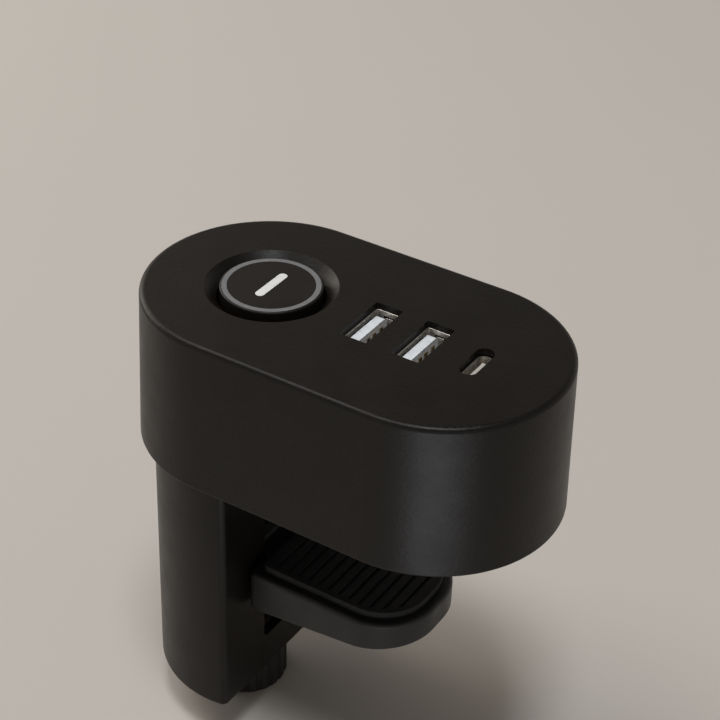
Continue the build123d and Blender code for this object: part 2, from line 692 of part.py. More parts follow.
jaw_end = desk_edge_x + jaw_reach
neck_front = desk_edge_x + jaw_gap
with BuildPart() as clamp_jaw:
    # carriage that slides between the spine's cheeks
    with BuildSketch(Plane.XY.offset(carriage_bottom)):
        with Locations((column_inside - jaw_gap, 0)):
            Rectangle(column_inside - jaw_gap - carriage_back, 2 * carriage_half,
                      align=(Align.MAX, Align.CENTER))
    extrude(amount=carriage_top - carriage_bottom)
    # neck through the slot
    with BuildSketch(Plane.XY.offset(carriage_bottom)):
        with Locations((column_inside - jaw_gap, 0)):
            Rectangle(neck_front - column_inside + jaw_gap, 2 * neck_half,
                      align=(Align.MIN, Align.CENTER))
    extrude(amount=jaw_root)
    # arm, rounded in plan and thinner towards its tip
    with BuildSketch(Plane.XY.offset(carriage_bottom)) as arm_plan:
        with Locations((neck_front, 0)):
            Rectangle(jaw_end - neck_front, jaw_width, align=(Align.MIN, Align.CENTER))
        fillet(arm_plan.vertices().group_by(Axis.X)[-1], jaw_width / 2 - 2)
        fillet(arm_plan.vertices().group_by(Axis.X)[0], 1.5)
    extrude(amount=jaw_root)
    with BuildSketch(Plane.XZ.offset(-jaw_width)):
        with BuildLine():
            Polyline((neck_front + 3, carriage_bottom), (jaw_end + 1, jaw_top - jaw_tip),
                     (jaw_end + 1, carriage_bottom - 1), (neck_front + 3, carriage_bottom - 1),
                     close=True)
        make_face()
    extrude(amount=2 * jaw_width, mode=Mode.SUBTRACT)
    fillet(clamp_jaw.faces().filter_by(Plane.XY).sort_by(Axis.X)[-1].edges(), 1.0)
    with Locations((screw_x, 0, carriage_top)):
        Cylinder(thread_radius + 0.6, carriage_top - carriage_bottom,
                 align=(Align.CENTER, Align.CENTER, Align.MAX), mode=Mode.SUBTRACT)
        Cylinder(nut_radius + run_gap, nut_length,
                 align=(Align.CENTER, Align.CENTER, Align.MAX), mode=Mode.SUBTRACT)
save(clamp_jaw.part, "clamp_jaw")

pad_start = neck_front + 2.0
with BuildPart() as jaw_pad:
    with BuildSketch(Plane.XY.offset(jaw_top)) as pad_outline:
        with Locations((pad_start, 0)):
            Rectangle(jaw_end - 2.0 - pad_start, jaw_width - 4, align=(Align.MIN, Align.CENTER))
        fillet(pad_outline.vertices().group_by(Axis.X)[-1], jaw_width / 2 - 4)
        fillet(pad_outline.vertices().group_by(Axis.X)[0], 1.5)
    extrude(amount=jaw_pad_thick)
save(jaw_pad.part, "jaw_pad")

with BuildPart() as jaw_nut:
    with BuildSketch(Plane.XY.offset(carriage_top)):
        with Locations((screw_x, 0)):
            Circle(nut_radius)
            Circle(thread_radius + run_gap, mode=Mode.SUBTRACT)
    extrude(amount=-nut_length)
save(jaw_nut.part, "jaw_nut")

with BuildPart() as jaw_liners:
    for side in (-1, 1):
        with Locations((carriage_back + 0.5, side * (carriage_half + liner_thick / 2),
                        carriage_bottom + 0.5)):
            Box(column_inside - jaw_gap - carriage_back - 1, liner_thick,
                carriage_top - carriage_bottom - 1, align=(Align.MIN, Align.CENTER, Align.MIN))
save(jaw_liners.part, "jaw_liners")

neck_top = flange_bottom - 0.3
clip_top = spine_bottom - 0.1
clip_thick = 0.8
clip_groove = journal_radius - 0.5
with BuildPart() as lead_screw:
    with Locations((screw_x, 0, plate_bottom - 0.3)):
        Cylinder(journal_radius, plate_bottom - 0.3 - journal_end,
                 align=(Align.CENTER, Align.CENTER, Align.MAX))
    with Locations((screw_x, 0, neck_top)):
        Cylinder(thread_radius, neck_top - collar_top,
                 align=(Align.CENTER, Align.CENTER, Align.MAX))
    with Locations((screw_x, 0, collar_top)):
        Cylinder(collar_radius, collar_thick, align=(Align.CENTER, Align.CENTER, Align.MAX))
    with BuildSketch(Plane.XY.offset(clip_top + run_gap)):
        with Locations((screw_x, 0)):
            Circle(journal_radius + 1)
            Circle(clip_groove, mode=Mode.SUBTRACT)
    extrude(amount=-clip_thick - 2 * run_gap, mode=Mode.SUBTRACT)
save(lead_screw.part, "lead_screw")

with BuildPart() as thrust_washer:
    with BuildSketch(Plane.XY.offset(spine_floor)):
        with Locations((screw_x, 0)):
            Circle(collar_radius)
            Circle(journal_radius + 0.1, mode=Mode.SUBTRACT)
    extrude(amount=washer_thick)
save(thrust_washer.part, "thrust_washer")

with BuildPart() as retaining_clip:
    with BuildSketch(Plane.XY.offset(clip_top)):
        with Locations((screw_x, 0)):
            Circle(journal_radius + 2)
            Circle(clip_groove + run_gap, mode=Mode.SUBTRACT)
        with Locations((screw_x, journal_radius + 2)):
            Rectangle(2 * clip_groove, journal_radius + 2, mode=Mode.SUBTRACT)
    extrude(amount=-clip_thick)
save(retaining_clip.part, "retaining_clip")

grub_height = knob_top - knob_height * 0.45
grub_out = knob_radius - 1.4
with BuildPart() as clamp_knob:
    with Locations((screw_x, 0, knob_top)):
        Cylinder(knob_radius, knob_height, align=(Align.CENTER, Align.CENTER, Align.MAX))
    fillet(clamp_knob.edges().filter_by(GeomType.CIRCLE), 0.9)
    with Locations((screw_x, 0, knob_top)):
        with PolarLocations(knob_radius + 0.35, knob_flutes):
            Cylinder(0.9, knob_height, align=(Align.CENTER, Align.CENTER, Align.MAX),
                     mode=Mode.SUBTRACT)
        Cylinder(journal_radius + run_gap, knob_top - journal_end + 0.2,
                 align=(Align.CENTER, Align.CENTER, Align.MAX), mode=Mode.SUBTRACT)
    with Locations((screw_x, 0, grub_height)):
        Cylinder(m3[0] + thread_gap, knob_radius + 1, rotation=(90, 0, 0),
                 align=(Align.CENTER, Align.CENTER, Align.MIN), mode=Mode.SUBTRACT)
save(clamp_knob.part, "clamp_knob")

with BuildPart() as knob_grub_screw:
    with BuildSketch(Plane.XZ.offset(journal_radius + run_gap)):
        with Locations((screw_x, grub_height)):
            Circle(m3[0])
    extrude(amount=grub_out - journal_radius)
    with BuildSketch(Plane.XZ.offset(journal_radius + run_gap + grub_out - journal_radius)):
        with Locations((screw_x, grub_height)):
            RegularPolygon(0.85, 6)
    extrude(amount=-1.5, mode=Mode.SUBTRACT)
save(knob_grub_screw.part, "knob_grub_screw")
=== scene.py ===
import json
import math

import bpy
from mathutils import Matrix, Vector

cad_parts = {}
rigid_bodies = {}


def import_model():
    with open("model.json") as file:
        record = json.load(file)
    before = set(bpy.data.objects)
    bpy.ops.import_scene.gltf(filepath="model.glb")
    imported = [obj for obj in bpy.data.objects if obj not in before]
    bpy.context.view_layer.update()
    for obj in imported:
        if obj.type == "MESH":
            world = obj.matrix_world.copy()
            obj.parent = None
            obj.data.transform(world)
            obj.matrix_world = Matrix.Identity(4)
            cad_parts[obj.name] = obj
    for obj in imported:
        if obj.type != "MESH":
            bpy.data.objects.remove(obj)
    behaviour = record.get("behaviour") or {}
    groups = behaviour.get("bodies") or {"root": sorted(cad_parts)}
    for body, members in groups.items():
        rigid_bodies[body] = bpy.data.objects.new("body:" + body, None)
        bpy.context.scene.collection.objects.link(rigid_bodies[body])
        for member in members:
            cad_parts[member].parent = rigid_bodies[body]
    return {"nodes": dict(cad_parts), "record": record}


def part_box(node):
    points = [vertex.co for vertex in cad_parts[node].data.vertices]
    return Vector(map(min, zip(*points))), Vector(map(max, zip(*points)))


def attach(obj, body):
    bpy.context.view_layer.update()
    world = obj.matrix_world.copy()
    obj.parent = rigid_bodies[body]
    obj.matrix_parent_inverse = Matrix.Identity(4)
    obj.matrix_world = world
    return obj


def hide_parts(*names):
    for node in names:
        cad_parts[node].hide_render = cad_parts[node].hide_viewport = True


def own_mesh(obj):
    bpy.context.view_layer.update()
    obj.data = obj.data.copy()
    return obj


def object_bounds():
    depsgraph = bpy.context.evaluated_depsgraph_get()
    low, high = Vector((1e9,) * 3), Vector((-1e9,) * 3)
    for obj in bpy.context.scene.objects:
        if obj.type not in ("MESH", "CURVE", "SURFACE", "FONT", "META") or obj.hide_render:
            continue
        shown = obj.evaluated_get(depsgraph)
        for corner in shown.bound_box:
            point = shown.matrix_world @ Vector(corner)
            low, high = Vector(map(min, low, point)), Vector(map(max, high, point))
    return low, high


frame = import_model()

MM = 0.001
WELD = 1e-6  # metres within which points are merged
cad_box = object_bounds()
table = cad_box[0].z


# ---------------------------------------------------------------- bench tools
def leave_edit():
    bpy.ops.object.mode_set(mode="OBJECT")


def clear_bench():
    """Leave edit mode with nothing selected."""
    if bpy.context.object and bpy.context.object.mode != "OBJECT":
        leave_edit()
    bpy.ops.object.select_all(action="DESELECT")


def take(piece):
    """Make piece the only selected and active object."""
    clear_bench()
    piece.select_set(True)
    bpy.context.view_layer.objects.active = piece


def name_new(name):
    """Name the active object and its mesh."""
    piece = bpy.context.object
    piece.name = name
    piece.data.name = name
    return piece


def block(name, low, high):
    """A box between two corners, ready to shape."""
    clear_bench()
    low, high = Vector(low), Vector(high)
    bpy.ops.mesh.primitive_cube_add(size=1, location=(low + high) / 2)
    bpy.context.object.scale = high - low
    bpy.ops.object.transform_apply(location=True, rotation=True, scale=True)
    return name_new(name)


def round_bar(name, centre, radius, low, high, sides=64):
    """An upright round bar from height low to height high."""
    clear_bench()
    bpy.ops.mesh.primitive_cylinder_add(
        vertices=sides, radius=radius, depth=high - low,
        location=(centre[0], centre[1], (low + high) / 2))
    bpy.ops.object.transform_apply(location=True, rotation=True, scale=True)
    return name_new(name)


def pick_faces(piece, wanted):
    """Enter edit mode with only the wanted faces selected; wanted sees centre and normal."""
    take(piece)
    bpy.ops.object.mode_set(mode="EDIT")
    bpy.ops.mesh.select_mode(type="FACE")
    bpy.ops.mesh.select_all(action="DESELECT")
    leave_edit()
    for face in piece.data.polygons:
        face.select = bool(wanted(face.center, face.normal))
    bpy.ops.object.mode_set(mode="EDIT")


def pick_edges(piece, wanted):
    """Enter edit mode with only the wanted edges selected; wanted sees middle and direction."""
    take(piece)
    bpy.ops.object.mode_set(mode="EDIT")
    bpy.ops.mesh.select_mode(type="EDGE")
    bpy.ops.mesh.select_all(action="DESELECT")
    leave_edit()
    points = piece.data.vertices
    for edge in piece.data.edges:
        a, b = points[edge.vertices[0]].co, points[edge.vertices[1]].co
        edge.select = bool(wanted((a + b) / 2, (b - a).normalized()))
    bpy.ops.object.mode_set(mode="EDIT")


def pick_all(piece):
    """Enter edit mode with the whole mesh selected."""
    take(piece)
    bpy.ops.object.mode_set(mode="EDIT")
    bpy.ops.mesh.select_all(action="SELECT")


def upright(middle, way):
    return abs(way.z) > 0.9


def level(middle, way):
    return abs(way.z) < 0.1


def level_above(height):
    """Picks the level edges that lie above height."""
    return lambda middle, way: middle.z > height and level(middle, way)


def bevel_edges(piece, wanted, width, segments):
    """Round the wanted edges over."""
    pick_edges(piece, wanted)
    bpy.ops.mesh.bevel(offset=width, offset_type="OFFSET", segments=segments, profile=0.5,
                       affect="EDGES", clamp_overlap=True)
    leave_edit()


def open_ends(piece):
    """Take off the flat top and foot."""
    pick_faces(piece, lambda centre, normal: abs(normal.z) > 0.9)
    bpy.ops.mesh.delete(type="FACE")
    leave_edit()


def cut_level(piece, height, keep="both"):
    """Cut a mesh all round at a height, and keep what lies below it, above it or both."""
    pick_all(piece)
    bpy.ops.mesh.bisect(plane_co=(0, 0, height), plane_no=(0, 0, 1),
                        clear_outer=keep == "below", clear_inner=keep == "above")
    leave_edit()


def keep_main(piece):
    """Drop the crumbs that a cut leaves beside the main body."""
    middle = max(piece.data.polygons, key=lambda face: face.area).center.copy()
    pick_faces(piece, lambda centre, normal: (centre - middle).length < 0.1 * WELD)
    bpy.ops.mesh.select_linked()
    bpy.ops.mesh.select_all(action="INVERT")
    bpy.ops.mesh.delete(type="VERT")
    leave_edit()


def close_holes(piece):
    """Clear slivers and fill the open loops that a cut leaves."""
    pick_all(piece)
    bpy.ops.mesh.dissolve_degenerate(threshold=WELD)
    bpy.ops.mesh.select_all(action="SELECT")
    bpy.ops.mesh.fill_holes(sides=0)
    leave_edit()


def even_normals(piece):
    """Merge doubles and turn every face outwards."""
    pick_all(piece)
    bpy.ops.mesh.remove_doubles(threshold=WELD)
    bpy.ops.mesh.normals_make_consistent(inside=False)
    leave_edit()


def smooth(piece, angle=40):
    """Shade smooth, with edges sharper than angle degrees left crisp."""
    take(piece)
    bpy.ops.object.shade_smooth_by_angle(angle=math.radians(angle))


def apply_place(piece):
    """Put the object's place, turn and size into its mesh."""
    take(piece)
    bpy.ops.object.transform_apply(location=True, rotation=True, scale=True)


def apply_modifier(piece, kind, **settings):
    """Add a modifier with these settings and apply it at once."""
    take(piece)
    modifier = piece.modifiers.new(kind.lower(), kind)
    for key, value in settings.items():
        setattr(modifier, key, value)
    bpy.ops.object.modifier_apply(modifier=modifier.name)


def join(name, pieces):
    """Join pieces into one mesh."""
    clear_bench()
    for piece in pieces:
        piece.select_set(True)
    bpy.context.view_layer.objects.active = pieces[0]
    bpy.ops.object.join()
    return name_new(name)


def cut_out(piece, low, high):
    """Cut a box between two corners out of a piece."""
    cutter = block("cutter", low, high)
    apply_modifier(piece, "BOOLEAN", operation="DIFFERENCE", solver="EXACT", object=cutter)
    bpy.data.objects.remove(cutter, do_unlink=True)


def copy_along(piece, name, shift):
    """A copy with its own mesh, moved by shift."""
    twin = piece.copy()
    twin.data = piece.data.copy()
    twin.name = name
    twin.data.name = name
    bpy.context.scene.collection.objects.link(twin)
    twin.data.transform(Matrix.Translation(shift))
    return twin


def fit(piece, body, slot, *nodes):
    """Hand a finished piece over: its body, its finish and the nodes it stands for."""
    piece.data.materials.clear()
    piece.data.materials.append(finishes[slot])
    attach(piece, body)
    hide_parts(*nodes)
    return piece


# ---------------------------------------------------------------- finishes
WAVE_AT_SCALE_ONE = 0.314  # distance between a wave texture's bands at scale 1
MIX_AMOUNT, MIX_FIRST, MIX_SECOND, MIX_RESULT = 0, 6, 7, 2  # a Mix node's colour sockets


class Finish:
    """One material: its shader and the patterns that feed it."""

    def __init__(self, name, colour, roughness, metallic=0.0, specular=0.5):
        self.name = name
        self.material = bpy.data.materials.new(name)
        self.material.use_nodes = True
        self.tree = self.material.node_tree
        self.shader = self.tree.nodes["Principled BSDF"]
        self.shader.inputs["Base Color"].default_value = (*colour, 1)
        self.shader.inputs["Roughness"].default_value = roughness
        self.shader.inputs["Metallic"].default_value = metallic
        self.shader.inputs["IOR"].default_value = 1.45
        self.shader.inputs["Specular IOR Level"].default_value = specular
        self.place = self.tree.nodes.new("ShaderNodeTexCoord").outputs["Object"]
        self.tint = (*colour, 1)
        self.height = None

    def node(self, kind, **settings):
        """Add a shader node with these settings."""
        made = self.tree.nodes.new("ShaderNode" + kind)
        for key, value in settings.items():
            setattr(made, key, value)
        return made

    def feed(self, node, key, value):
        """Link a socket, or set a plain number or colour."""
        if isinstance(value, bpy.types.NodeSocket):
            self.tree.links.new(value, node.inputs[key])
        else:
            node.inputs[key].default_value = value

    def stretched(self, scale):
        """The piece's own coordinates, scaled apart along its axes."""
        mapping = self.node("Mapping")
        self.feed(mapping, "Vector", self.place)
        self.feed(mapping, "Scale", scale)
        return mapping.outputs["Vector"]

    def noise(self, size, detail=2.0, rough=0.5, where=None):
        """Soft spots, about size metres apart."""
        made = self.node("TexNoise")
        self.feed(made, "Vector", where or self.place)
        self.feed(made, "Scale", 1 / size)
        self.feed(made, "Detail", detail)
        self.feed(made, "Roughness", rough)
        return made.outputs["Fac"]

    def cells(self, size):
        """Distance from the middles of cells that are size metres wide."""
        made = self.node("TexVoronoi")
        self.feed(made, "Vector", self.place)
        self.feed(made, "Scale", 1 / size)
        return made.outputs["Distance"]

    def bands(self, size, direction, distortion):
        """Waves along one axis, size metres apart."""
        made = self.node("TexWave", bands_direction=direction)
        self.feed(made, "Vector", self.place)
        self.feed(made, "Scale", WAVE_AT_SCALE_ONE / size)
        self.feed(made, "Distortion", distortion)
        return made.outputs["Fac"]

    def span(self, value, low, high, from_low, from_high):
        """Stretch value from one range to another, held at both ends."""
        made = self.node("MapRange")
        self.feed(made, "Value", value)
        self.feed(made, "From Min", from_low)
        self.feed(made, "From Max", from_high)
        self.feed(made, "To Min", low)
        self.feed(made, "To Max", high)
        return made.outputs["Result"]

    def combine(self, operation, a, b):
        """Work two patterns into one by a Math operation."""
        made = self.node("Math", operation=operation)
        self.feed(made, 0, a)
        self.feed(made, 1, b)
        return made.outputs[0]

    def vary_colour(self, amount, other):
        """Blend towards other where the pattern is high."""
        made = self.node("Mix", data_type="RGBA")
        self.feed(made, MIX_AMOUNT, amount)
        self.feed(made, MIX_FIRST, self.tint)
        self.feed(made, MIX_SECOND, (*other, 1))
        self.tint = made.outputs[MIX_RESULT]
        self.feed(self.shader, "Base Color", self.tint)
        return self

    def vary_roughness(self, pattern, low, high):
        """Let the roughness run from low to high with the pattern."""
        self.feed(self.shader, "Roughness", self.span(pattern, low, high, 0.3, 0.7))
        return self

    def raise_by(self, pattern, depth):
        """Lift the surface by depth millimetres where the pattern is high."""
        bump = self.node("Bump")
        self.feed(bump, "Strength", 1.0)
        self.feed(bump, "Distance", depth * MM)
        self.feed(bump, "Height", pattern)
        if self.height is not None:
            self.feed(bump, "Normal", self.height)
        self.height = bump.outputs["Normal"]
        self.feed(self.shader, "Normal", self.height)
        return self

    def worn_and_highlit_edges(self, radius, lighter, amount):
        """Lighten the sharp edges: partly rubbed wear, partly a painted highlight where the edge
        catches the light.
        """
        rounded = self.node("Bevel", samples=4)
        self.feed(rounded, "Radius", radius * MM)
        plain = self.node("NewGeometry")
        apart = self.node("VectorMath", operation="DOT_PRODUCT")
        self.feed(apart, 0, rounded.outputs["Normal"])
        self.feed(apart, 1, plain.outputs["Normal"])
        # edge mask for the lighter edges: partly rubbed wear, partly a painted highlight
        edge = self.span(apart.outputs["Value"], amount, 0.0, 0.7, 0.98)
        patches = self.span(self.noise(2.5 * MM, 3), 0.2, 1.0, 0.35, 0.6)
        return self.vary_colour(self.combine("MULTIPLY", edge, patches), lighter)


def moulded_plastic(name, colour, roughness, grain, depth, lighter, specular=0.38):
    """Spark-eroded texture with faint flow marks, dust in the grain, and edges lightened partly as
    rubbed wear and partly as a painted highlight.
    """
    made = Finish(name, colour, roughness, specular=specular)
    fine = made.noise(grain * MM, 3, 0.6)
    flow = made.noise(14 * MM, 2)
    made.vary_colour(made.span(flow, 0.0, 0.25, 0.35, 0.7), lighter)
    made.vary_colour(made.span(fine, 0.0, 0.8, 0.5, 0.75), lighter)
    # painted highlight on the sharp edges, partly also rubbed wear
    made.worn_and_highlit_edges(0.35, tuple(2.2 * part for part in lighter), 0.35)
    made.vary_roughness(made.noise(6 * MM, 3), roughness + 0.04, roughness - 0.03)
    made.raise_by(made.noise(grain * 2.5 * MM, 2), depth * 2)
    return made.raise_by(fine, depth)


def rubber(name, colour, roughness, grain, depth, lighter):
    """Matt rubber: soft pores and a dusty bloom."""
    made = Finish(name, colour, roughness, specular=0.35)
    bloom = made.noise(6 * MM, 4, 0.65)
    made.vary_colour(made.span(bloom, 0.0, 0.8, 0.45, 0.75), lighter)
    made.vary_roughness(bloom, roughness - 0.08, roughness + 0.08)
    made.raise_by(made.cells(grain * MM), depth)
    return made.raise_by(made.noise(0.12 * MM, 2), depth * 0.5)


def coated_steel(name, colour, roughness, grain, depth, lighter):
    """Powder coat: orange peel, fine sparkle and lighter edges, partly chipped thin and partly a
    painted highlight.
    """
    made = Finish(name, colour, roughness, specular=0.4)
    peel = made.noise(grain * MM, 2, 0.4)
    made.vary_colour(made.span(made.noise(11 * MM, 3), 0.0, 0.5, 0.4, 0.7), lighter)
    # painted highlight on the sharp edges, partly also chipped-thin wear
    made.worn_and_highlit_edges(0.3, (0.2, 0.19, 0.18), 0.4)
    made.vary_roughness(made.noise(5 * MM, 3), roughness - 0.06, roughness + 0.08)
    made.raise_by(peel, depth)
    return made.raise_by(made.noise(grain * 0.25 * MM, 2), depth * 0.35)


def bright_metal(name, colour, roughness, other, along, scratch, spots):
    """Plated or bare metal: drawn lines, cloudy plating and small stains."""
    made = Finish(name, colour, roughness, metallic=1.0)
    lines = made.noise(0.12 * MM, 3, 0.6, made.stretched(along))
    cloud = made.noise(spots * MM, 4, 0.6)
    made.vary_colour(made.span(cloud, 0.0, 1.0, 0.42, 0.68), other)
    made.vary_colour(made.span(lines, 0.0, 0.35, 0.4, 0.7), other)
    made.vary_roughness(cloud, roughness - 0.07, roughness + 0.13)
    made.raise_by(lines, scratch)
    return made.raise_by(made.noise(0.5 * MM, 3), scratch * 0.8)


def turned_metal(name, colour, roughness, other, pitch=0.18):
    """Turned metal: fine tool rings round the upright axis."""
    made = Finish(name, colour, roughness, metallic=1.0)
    rings = made.bands(pitch * MM, "Z", 0.4)
    tarnish = made.noise(2.5 * MM, 4)
    made.vary_colour(made.span(tarnish, 0.0, 0.8, 0.4, 0.7), other)
    made.vary_roughness(tarnish, roughness - 0.05, roughness + 0.15)
    return made.raise_by(rings, 0.006).raise_by(made.noise(0.3 * MM, 2), 0.003)


def small_part(name, colour, roughness, other, size, depth):
    """Epoxy, sleeve, film or ceramic on the boards, with soft blotches and a fine surface."""
    made = Finish(name, colour, roughness, specular=0.4)
    blotch = made.noise(size * MM, 3)
    made.vary_colour(made.span(blotch, 0.0, 1.0, 0.4, 0.7), other)
    made.vary_roughness(blotch, roughness - 0.06, roughness + 0.1)
    made.raise_by(made.noise(size * 0.12 * MM, 2), depth * 0.5)
    return made.raise_by(blotch, depth)


def circuit_board(name):
    """Green solder mask over copper tracks, with plated pads showing through."""
    made = Finish(name, (0.01, 0.075, 0.03), 0.32, specular=0.5)
    across = made.bands(1.6 * MM, "X", 1.5)
    along = made.bands(2.3 * MM, "Y", 1.2)
    tracks = made.span(made.combine("MAXIMUM", across, along), 0.0, 1.0, 0.9, 0.93)
    made.vary_colour(tracks, (0.03, 0.16, 0.06))
    pads = made.span(made.cells(2.2 * MM), 1.0, 0.0, 0.14, 0.17)
    made.vary_colour(pads, (0.55, 0.52, 0.45))
    made.vary_roughness(made.noise(4 * MM, 2), 0.25, 0.4)
    return made.raise_by(tracks, 0.03).raise_by(made.noise(0.3 * MM, 2), 0.004)


def light_guide(name, colour, roughness, other):
    """Frosted diffuser: milky, with faint moulding clouds and a fine frost."""
    made = Finish(name, colour, roughness, specular=0.4)
    made.shader.inputs["Subsurface Weight"].default_value = 0.15
    made.shader.inputs["Subsurface Radius"].default_value = [0.3 * MM] * 3
    made.shader.inputs["Subsurface Scale"].default_value = 1.0
    cloud = made.noise(1.6 * MM, 3)
    made.vary_colour(made.span(cloud, 0.0, 0.7, 0.35, 0.7), other)
    made.vary_roughness(made.noise(0.6 * MM, 3), roughness - 0.06, roughness + 0.08)
    return made.raise_by(made.noise(0.1 * MM, 2), 0.006)


made_finishes = [
    moulded_plastic("housing_plastic", (0.0048, 0.0036, 0.0026), 0.38, 0.34, 0.016,
                    (0.0108, 0.0084, 0.0066), 0.27),
    moulded_plastic("button_plastic", (0.0062, 0.0048, 0.0038), 0.4, 0.24, 0.01,
                    (0.012, 0.0098, 0.0082), 0.3),
    light_guide("ring_light_guide", (0.17, 0.172, 0.176), 0.42, (0.14, 0.143, 0.15)),
    light_guide("symbol_light_guide", (0.72, 0.73, 0.72), 0.45, (0.64, 0.65, 0.65)),
    rubber("black_rubber", (0.012, 0.012, 0.012), 0.72, 0.35, 0.03, (0.035, 0.034, 0.033)),
    bright_metal("port_steel", (0.78, 0.75, 0.7), 0.38, (0.34, 0.3, 0.26),
                 (1, 1, 0.2), 0.01, 0.9),
    small_part("port_insulator_white", (0.8, 0.84, 0.87), 0.4, (0.68, 0.71, 0.75), 2.0, 0.004),
    small_part("port_insulator_grey", (0.62, 0.59, 0.53), 0.42, (0.48, 0.45, 0.4), 1.2, 0.004),
    bright_metal("contact_gold", (0.55, 0.4, 0.2), 0.32, (0.18, 0.11, 0.06),
                 (1, 1, 0.1), 0.004, 0.6),
    circuit_board("board_green"),
    moulded_plastic("component_black", (0.014, 0.0135, 0.013), 0.5, 0.14, 0.012,
                    (0.03, 0.029, 0.027)),
    small_part("capacitor_sleeve", (0.012, 0.018, 0.04), 0.3, (0.03, 0.035, 0.06), 2.0, 0.01),
    small_part("ferrite_grey", (0.05, 0.048, 0.046), 0.6, (0.1, 0.095, 0.09), 0.8, 0.04),
    turned_metal("copper_wire", (0.72, 0.32, 0.14), 0.34, (0.42, 0.15, 0.05), 0.25),
    small_part("fuse_ceramic", (0.68, 0.66, 0.6), 0.5, (0.55, 0.52, 0.45), 1.5, 0.02),
    small_part("terminal_green", (0.02, 0.16, 0.06), 0.42, (0.035, 0.24, 0.09), 2.5, 0.015),
    small_part("flex_amber", (0.45, 0.16, 0.02), 0.3, (0.3, 0.08, 0.01), 1.2, 0.01),
    small_part("insulation_film", (0.05, 0.05, 0.052), 0.28, (0.08, 0.08, 0.083), 6.0, 0.03),
    light_guide("lamp_epoxy", (0.8, 0.78, 0.6), 0.25, (0.75, 0.7, 0.4)),
    bright_metal("zinc_plated_steel", (0.56, 0.57, 0.58), 0.3, (0.34, 0.35, 0.36),
                 (1, 1, 0.25), 0.006, 4.0),
    bright_metal("spring_steel", (0.42, 0.41, 0.4), 0.26, (0.22, 0.2, 0.19),
                 (1, 1, 1), 0.004, 2.0),
    bright_metal("blackened_steel", (0.05, 0.05, 0.052), 0.38, (0.1, 0.095, 0.09),
                 (1, 1, 0.4), 0.006, 1.5),
    coated_steel("plate_coating", (0.012, 0.0115, 0.011), 0.48, 0.5, 0.03, (0.024, 0.023, 0.022)),
    coated_steel("jaw_coating", (0.0125, 0.012, 0.0115), 0.42, 0.45, 0.025,
                 (0.026, 0.025, 0.024)),
    turned_metal("turned_brass", (0.72, 0.5, 0.2), 0.28, (0.45, 0.27, 0.1)),
    turned_metal("bearing_bronze", (0.5, 0.29, 0.14), 0.36, (0.3, 0.15, 0.07)),
    small_part("liner_plastic", (0.62, 0.62, 0.6), 0.45, (0.5, 0.5, 0.48), 3.0, 0.01),
]
finishes = {made.name: made.material for made in made_finishes}

for row in frame["record"]["subparts"]:
    carried = frame["nodes"][row["node"]]
    for holder in carried.material_slots:
        holder.link = "OBJECT"
        holder.material = finishes[row["material_slot"]]


# ---------------------------------------------------------------- feed screw
def centre_line(low, high):
    """The middle of a box, seen from above."""
    return (low.x + high.x) / 2, (low.y + high.y) / 2


def rolled_thread(axis, foot, top):
    """Left-hand 1.5 mm thread from foot to top, cut level and closed at both ends."""
    pitch, crest, root = 1.5 * MM, 2.98 * MM, 2.12 * MM
    easing = 0.08 * MM
    flank = crest - root - easing
    profile = [(0, 0.12), (flank, 0.55), (easing, 0.08),
               (0, 0.1), (-easing, 0.08), (-flank, 0.57)]  # out in metres, up in millimetres
    turns = math.ceil((top - foot) / pitch) + 3

    clear_bench()
    bpy.ops.mesh.primitive_plane_add(size=1 * MM)
    thread = name_new("thread")
    pick_all(thread)
    bpy.ops.mesh.merge(type="CENTER")
    bpy.ops.transform.translate(value=(root, 0, 0))
    bpy.ops.mesh.select_mode(type="VERT")
    for out, up in profile:
        bpy.ops.mesh.extrude_region_move(TRANSFORM_OT_translate={"value": (out, 0, up * MM)})
    leave_edit()
    apply_modifier(thread, "SCREW", axis="Z", angle=-2 * math.pi, screw_offset=pitch,
                   iterations=turns, steps=40, render_steps=40, use_smooth_shade=True)
    even_normals(thread)
    thread.location = (*axis, foot - 1.5 * pitch)
    apply_place(thread)
    cut_level(thread, top, "below")
    cut_level(thread, foot - 0.2 * MM, "above")
    keep_main(thread)
    close_holes(thread)
    even_normals(thread)
    return thread


def feed_screw():
    """The threaded screw with its journals, thrust collar and clip groove."""
    low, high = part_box("lead_screw")
    clip_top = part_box("retaining_clip")[1].z
    axis = centre_line(low, high)
    journal_radius = 2.5 * MM
    collar_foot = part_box("thrust_washer")[1].z + 0.05 * MM
    collar_top = collar_foot + 2.0 * MM
    thread_top = high.z - 2.5 * MM
    thread = rolled_thread(axis, collar_top, thread_top)

    journal = round_bar("journal", axis, journal_radius, low.z, clip_top + 0.05 * MM)
    bevel_edges(journal, lambda middle, way: middle.z < low.z + 0.1 * MM and level(middle, way),
                0.35 * MM, 2)
    pick_faces(journal, lambda centre, normal: normal.z > 0.9)
    bpy.ops.mesh.inset(thickness=0.5 * MM)
    bpy.ops.mesh.extrude_region_move(TRANSFORM_OT_translate={"value": (0, 0, 0.5 * MM)})
    leave_edit()

    neck = round_bar("neck", axis, journal_radius, clip_top + 0.1 * MM, collar_foot + 0.2 * MM)
    top_journal = round_bar("top_journal", axis, journal_radius, thread_top - 0.3 * MM, high.z)
    bevel_edges(top_journal, level_above(high.z - 0.1 * MM), 0.4 * MM, 2)
    collar = round_bar("collar", axis, (high.x - low.x) / 2, collar_foot, collar_top, 96)
    bevel_edges(collar, level, 0.3 * MM, 3)
    whole = join("feed_screw_threaded", [thread, journal, neck, top_journal, collar])
    smooth(whole)
    return whole


fit(feed_screw(), "feed_screw", "zinc_plated_steel", "lead_screw")


